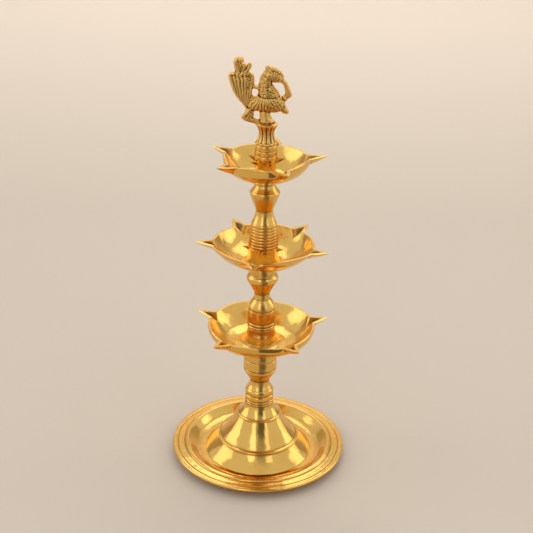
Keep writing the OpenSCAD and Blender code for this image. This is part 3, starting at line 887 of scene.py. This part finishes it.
def plumage(p):
    """How far the casting's chased pattern stands out at each point, in millimetres, from the sum of:
    ribs that fan round the back of the body, beads on the breast in crossed rows, small curls on the neck
    and head, long feathers with a notched border on the tail, and fine rings along the hanging plume."""
    x, y, z = p[:, 0], p[:, 1], p[:, 2]
    bow = z + 0.05 * (x + 4) ** 2
    flank = inside(x, -14, 1.5, 2) * inside(z, 9.5, 20.5, 2)
    turn = np.arctan2(z - 27, x + 3)
    wobble = 0.25 * np.sin(0.9 * x) * np.sin(0.8 * z + 0.5)
    out = 0.42 * flank * (ridge(turn * 5.4 + wobble) - 0.45)
    breast = inside(x, 1.5, 16, 2) * inside(z, 8, 22, 2)
    scales = ridge((x + z * 0.55) / 2.6 + wobble, 0.9) * ridge((z - x * 0.55) / 2.4 + 1.4 * wobble, 0.9)
    out += 0.46 * breast * (scales - 0.3)
    neck = inside(x, -8, 7, 2) * inside(z, 22, 35, 2)
    rows = ridge((bow + 0.45 * np.abs(y)) / 2.0 + 1.6 * wobble, 0.8) * ridge(x / 3.1 + wobble, 0.6)
    out += 0.44 * neck * (rows - 0.4)
    head = inside(x, -5, 12.5, 1.5) * inside(z, 34.5, 46.5, 1.5)
    curls = np.sin(2.7 * x + 1.3 * np.sin(1.1 * z)) * np.sin(2.5 * z + 0.9 * np.sin(1.7 * x))
    curls = curls * np.cos(1.9 * y)
    out += 0.52 * head * curls
    tail = inside(x, -27.0, -11.5, 1.4) * inside(z, 17, 39.5, 2)
    spread = (x + 18.4 + 0.10 * (z - 18)) / (3.6 + 0.27 * (z - 16))
    feathers = ridge(spread * 3.1 + 0.5 + 0.10 * np.sin(z * 0.9), 0.8)
    barbs = ridge((z * 0.8 + np.abs(np.sin(np.pi * (spread * 3.1 + 0.5))) * 1.5) / 1.35, 0.9)
    grains = np.sin(3.3 * x + np.sin(2.1 * z)) * np.sin(3.1 * z + np.sin(1.9 * x))
    rough = np.clip((x + 19 - 0.1 * (z - 20)) / 3, 0, 1) * np.clip((z - 26) / 4, 0, 1)
    out += tail * ((1 - rough) * (0.48 * (feathers - 0.45) + 0.34 * (barbs - 0.5)) + rough * 0.50 * grains)
    rim = inside(x + 0.55 * (z - 20), -40, -15.6, 0.8) * inside(z, 14, 36, 1.5) * (x < -15)
    out += 0.45 * rim * (ridge((z + 0.4 * x) / 1.6, 0.8) - 0.5)
    plume = inside(x, 12.6, 22, 1.0) * inside(z, 19, 34, 2)
    out += 0.36 * plume * (ridge((x * 1.0 + z * 0.32) / 1.25, 0.9) - 0.5)
    arms = inside(x, -27, -12, 1.5) * inside(z, 40, 53, 1.5)
    out += 0.34 * arms * (ridge((x - 0.35 * z) / 1.5, 0.8) - 0.5)
    heel = inside(x, -22, -10, 1.5) * inside(z, 0, 9, 1.5)
    out += 0.42 * heel * (ridge((x * 0.7 + z * 0.5 + np.abs(y) * 0.5) / 1.6, 0.9) - 0.5)
    sand = np.sin(5.1 * x + 2 * np.sin(3.1 * y)) * np.sin(4.7 * y + 2 * np.sin(2.9 * z))
    sand = sand * np.sin(5.3 * z + 2 * np.sin(3.3 * x))
    return out + 0.07 * sand


class LAMP_OT_peacock(bpy.types.Operator):
    """Sand-cast peacock and the fluted, petalled pedestal it stands on"""

    bl_idname = "lamp.peacock"
    bl_label = "Peacock finial"

    def execute(self, context):
        sizes = context.scene.lamp_sizes
        cast = shared("cast_brass_skin", cast_material, context.scene.lamp_colours)
        base, tall = SEAT["peacock_finial"], 16.5
        fitted(pedestal(base, tall, sizes), "peacock_finial", cast)
        voxel = 0.36
        points, edges, quads = fused([limb(rows) for rows in BIRD.values()], voxel)
        points = smoothed(points, edges, 3)
        points = points + outward(points, quads) * plumage(points)[:, None]
        points = smoothed(points, edges, 1)
        normals = outward(points, quads)
        hollow = ((smoothed(points, edges, 14) - points) * normals).sum(axis=1)
        points[:, 2] = np.minimum(points[:, 2] + base + tall, TOP["peacock_finial"] - 0.02)
        mesh = bpy.data.meshes.new("peacock")
        mesh.from_pydata((points * MM).tolist(), [], quads.tolist())
        layer = mesh.attributes.new("hollow", "FLOAT", "POINT")
        layer.data.foreach_set("value", np.clip(hollow / 0.11, -1, 1).astype(np.float32))
        mesh.shade_smooth()
        bird = bpy.data.objects.new("peacock", mesh)
        bpy.context.scene.collection.objects.link(bird)
        fitted(bird, "peacock_finial", cast)
        return {"FINISHED"}


def pedestal(z, tall, sizes):
    """Turned pedestal with cast flutes: radius is the profile's, less a groove between each two ribs
    that is deepest at the waist; the foot and the collar swell outwards into lobes and petals.
    The grooves between the ribs, the lobes and the petals are darkened with painted shade."""
    ribs = 12
    r = 9.4
    hole = sizes.stud_hole / MM
    profile = np.vstack([
        line([0, 8.4], [hole, 8.4], [hole, 0.4], [hole + 0.4, 0]),
        line([r - 1.4, 0], [r - 0.5, 0.5], [r - 0.35, 1.1], [r - 0.6, 1.8]),
        curve(2.1, r - 1.2, 0.54 * tall, r - 3.3, -0.5),
        curve(0.55 * tall, r - 3.3, 0.93 * tall, r - 0.9, -0.55),
        line([r - 0.45, 0.955 * tall], [r - 0.4, 0.98 * tall], [r - 0.9, 1.0 * tall]),
        curve(1.01 * tall, r - 1.3, 1.15 * tall, 5.6, -0.9),
        line([4.0, 1.18 * tall], [0, 1.2 * tall]),
    ])
    rr, zz, hollow = buffed(profile, sizes.edge_softness / MM, 0.7, 8)
    rr[0] = rr[-1] = 0
    a = np.linspace(0, 2 * np.pi, 336, endpoint=False)
    rib = ridge(a * ribs / (2 * np.pi), 0.8)
    lobe = ridge(a * ribs / (2 * np.pi) + 0.5, 0.9)
    waist = inside(zz, 2.4, 0.95 * tall, 1.6) * (rr > hole + 1)
    foot = inside(zz, 0.2, 1.9, 0.8) * (rr > hole + 1)
    collar = inside(zz, 0.93 * tall, 1.01 * tall, 0.8) * (rr > hole + 1)
    leaf = inside(zz, 1.01 * tall, 1.13 * tall, 0.8) * (rr > hole + 1)
    radius = rr[:, None] - 0.85 * waist[:, None] * (1 - rib) - 0.9 * foot[:, None] * (1 - lobe)
    lobes = ridge(a * 5 / np.pi, 0.7)
    radius += collar[:, None] * (0.55 * lobes - 0.45) - 0.5 * leaf[:, None] * (1 - lobes)
    height = np.broadcast_to(zz[:, None] + z, radius.shape)
    grid = np.stack([radius * np.cos(a), radius * np.sin(a), height], axis=-1)
    # painted shade: the hollows, plus darkening between the ribs at the waist, between the foot's lobes and
    # between the petals, stored in the hollow attribute
    shade = hollow[:, None] + 1.2 * waist[:, None] * (0.62 - rib) + 1.2 * foot[:, None] * (0.5 - lobe)
    shade += 0.3 * leaf[:, None] * (0.6 - ridge(a * 5 / np.pi, 0.7))
    return skin("finial_pedestal", grid, {"hollow": np.clip(shade, -1, 1)}, poles=True)


# Soft boxes: name, place, aimed at, width and height in metres, watts, colour
LIGHTS = (
    ("key_left", (-0.41, -1.13, 0.85), (0, 0, 0.14), (0.34, 1.05), 1.05, (1, 0.98, 0.95)),
    ("key_right", (0.70, -0.97, 0.80), (0, 0, 0.14), (0.26, 1.0), 0.75, (1, 0.98, 0.95)),
    ("side_left", (-2.60, 0.23, 1.08), (0, 0, 0.14), (1.60, 2.2), 9.7, (1, 0.97, 0.92)),
    ("top_back", (0.10, 0.75, 1.25), (0, 0, 0.10), (1.30, 0.80), 3.4, (1, 0.98, 0.95)),
    ("rim_right", (2.35, 0.78, 0.90), (0, 0, 0.17), (1.0, 2.0), 6.5, (1, 0.95, 0.88)),
    ("wall_wash", (0, 1.5, 2.0), (0, 3.4, 1.1), (2.6, 0.6), 42, (1, 0.98, 0.95)),
)


class LAMP_OT_stage(bpy.types.Operator):
    """Pale floor that sweeps up behind the lamp, soft studio lights and the camera"""

    bl_idname = "lamp.stage"
    bl_label = "Stage, lights and camera"

    def execute(self, context):
        sweep()
        dark_reflection_card()
        for light in LIGHTS:
            soft_light(*light)
        studio_world(context)
        context.scene.view_settings.view_transform = "Standard"
        place_camera(context)
        return {"FINISHED"}


def studio_world(context):
    """Even soft light from all round, dimmer low down in front, where the photographer would stand."""
    world = bpy.data.worlds.new("studio")
    bench = Bench(world)
    x, y, z = bench.parts(bench.node("ShaderNodeTexCoord", out="Generated"))
    facing = bench.node("ShaderNodeMath", {"operation": "ARCTAN2"}, [x, y * -1])
    front = 1 - facing.math("ABSOLUTE", facing - 0.30).between(0.26, 0.48)
    shade = front * (y * -1).between(0.0, 0.15) * (1 - z.between(0.55, 0.95))
    colour = bench.mixed(shade * 0.9, (0.92, 0.90, 0.86), (0.085, 0.085, 0.07))
    sky = bench.node("ShaderNodeBackground", values={"Color": colour, "Strength": 0.80})
    bench.node("ShaderNodeOutputWorld", values={"Surface": sky})
    context.scene.world = world


def sweep():
    """Floor and back wall in one sheet: flat up to the bend, a quarter circle, then upright."""
    width, front, bend, radius, height = 14.0, -16.0, 2.6, 0.9, 2.4
    a = np.linspace(0, np.pi / 2, 24)
    y = np.r_[np.linspace(front, bend, 30), bend + radius * np.sin(a), bend + radius]
    z = np.r_[np.zeros(30), radius - radius * np.cos(a), height]
    x = np.linspace(-width, width, 24)
    grid = np.stack(np.broadcast_arrays(x[None, :], y[:, None], z[:, None]), axis=-1)
    rows, cols = grid.shape[:2]
    index = np.arange(rows * cols).reshape(rows, cols)
    faces = np.stack([index[:-1, :-1], index[:-1, 1:], index[1:, 1:], index[1:, :-1]], axis=-1).reshape(-1, 4)
    mesh = bpy.data.meshes.new("floor")
    mesh.from_pydata(grid.reshape(-1, 3).tolist(), [], faces.tolist())
    mesh.shade_smooth()
    floor = bpy.data.objects.new("floor", mesh)
    bpy.context.scene.collection.objects.link(floor)
    mesh.materials.append(plain_material("pale_floor", bpy.context.scene.lamp_colours.floor, 0.75))


def dark_reflection_card():
    """Dark fan-shaped card low in front of the lamp, outside the picture, that puts a painted dark reflection
    into the brass.
    Only reflections see it: it stands for the unlit side of the room where the camera is."""
    a = np.radians(np.linspace(-95, -50, 24))
    ring = np.array([0.13, 1.6])
    grid = np.stack([np.outer(ring, np.cos(a)), np.outer(ring, np.sin(a)), np.full((2, 24), 0.004)], axis=-1)
    index = np.arange(48).reshape(2, 24)
    faces = np.stack([index[0, :-1], index[1, :-1], index[1, 1:], index[0, 1:]], axis=-1)
    mesh = bpy.data.meshes.new("dark_reflection_card")
    mesh.from_pydata(grid.reshape(-1, 3).tolist(), [], faces.tolist())
    card = bpy.data.objects.new("dark_reflection_card", mesh)
    bpy.context.scene.collection.objects.link(card)
    mesh.materials.append(plain_material("dark_reflection_grey", (0.15, 0.125, 0.11), 0.9))
    # seen only in reflections: a painted dark reflection of the unlit room in front
    card.visible_camera = False
    card.visible_diffuse = False
    card.visible_shadow = False


def soft_light(name, spot, aim, size, power, colour):
    """A rectangular soft box at spot that faces aim."""
    light = bpy.data.lights.new(name, "AREA")
    light.shape = "RECTANGLE"
    light.size, light.size_y = size
    light.energy = power
    light.color = colour
    thing = bpy.data.objects.new(name, light)
    bpy.context.scene.collection.objects.link(thing)
    away = np.subtract(spot, aim)
    away = away / np.linalg.norm(away)
    side = np.cross((0, 0, 1), away)
    side = side / np.linalg.norm(side)
    up = np.cross(away, side)
    pose = Matrix.Identity(4)
    for row in range(3):
        for col, axis in enumerate((side, up, away)):
            pose[row][col] = axis[row]
        pose[row][3] = spot[row]
    thing.matrix_world = pose


def place_camera(context):
    """Camera in front of the lamp, looking down on it and held with a slight tilt."""
    down, swing, tilt = 0.4286, 0.0038, 0.0295
    ahead = np.array([math.sin(swing) * math.cos(down), math.cos(swing) * math.cos(down), -math.sin(down)])
    level = np.array([math.cos(swing), -math.sin(swing), 0.0])
    lift = np.cross(level, ahead)
    right = math.cos(tilt) * level + math.sin(tilt) * lift
    above = math.cos(tilt) * lift - math.sin(tilt) * level
    lens = bpy.data.cameras.new("camera")
    lens.lens = 72.1
    lens.sensor_width = 36
    lens.clip_start = 0.01
    camera = bpy.data.objects.new("camera", lens)
    bpy.context.scene.collection.objects.link(camera)
    pose = Matrix.Identity(4)
    for row in range(3):
        for col, axis in enumerate((right, above, -ahead)):
            pose[row][col] = axis[row]
        pose[row][3] = (0, -0.79708, 0.5416)[row]
    camera.matrix_world = pose
    context.scene.camera = camera


class LAMP_PT_panel(bpy.types.Panel):
    """Sizes, colours and the pieces of the lamp."""

    bl_idname = "LAMP_PT_panel"
    bl_label = "Oil Lamp"
    bl_space_type = "VIEW_3D"
    bl_region_type = "UI"
    bl_category = "Oil Lamp"

    def draw(self, context):
        for group in (context.scene.lamp_sizes, context.scene.lamp_colours):
            for key in group.__annotations__:
                self.layout.prop(group, key)
        for operator in OPERATORS:
            self.layout.operator(operator.bl_idname)


OPERATORS = (LAMP_OT_dish, LAMP_OT_bell, LAMP_OT_stems, LAMP_OT_bowls, LAMP_OT_studs, LAMP_OT_peacock,
             LAMP_OT_stage)
CLASSES = (LampSizes, LampColours, *OPERATORS, LAMP_PT_panel)


def register():
    for part in CLASSES:
        bpy.utils.register_class(part)
    bpy.types.Scene.lamp_sizes = bpy.props.PointerProperty(type=LampSizes)
    bpy.types.Scene.lamp_colours = bpy.props.PointerProperty(type=LampColours)


def unregister():
    del bpy.types.Scene.lamp_colours
    del bpy.types.Scene.lamp_sizes
    for part in reversed(CLASSES):
        bpy.utils.unregister_class(part)


def main():
    register()
    bpy.ops.lamp.dish()
    bpy.ops.lamp.bell()
    bpy.ops.lamp.stems()
    bpy.ops.lamp.bowls()
    bpy.ops.lamp.studs()
    bpy.ops.lamp.peacock()
    bpy.ops.lamp.stage()


if __name__ == "__main__":
    main()
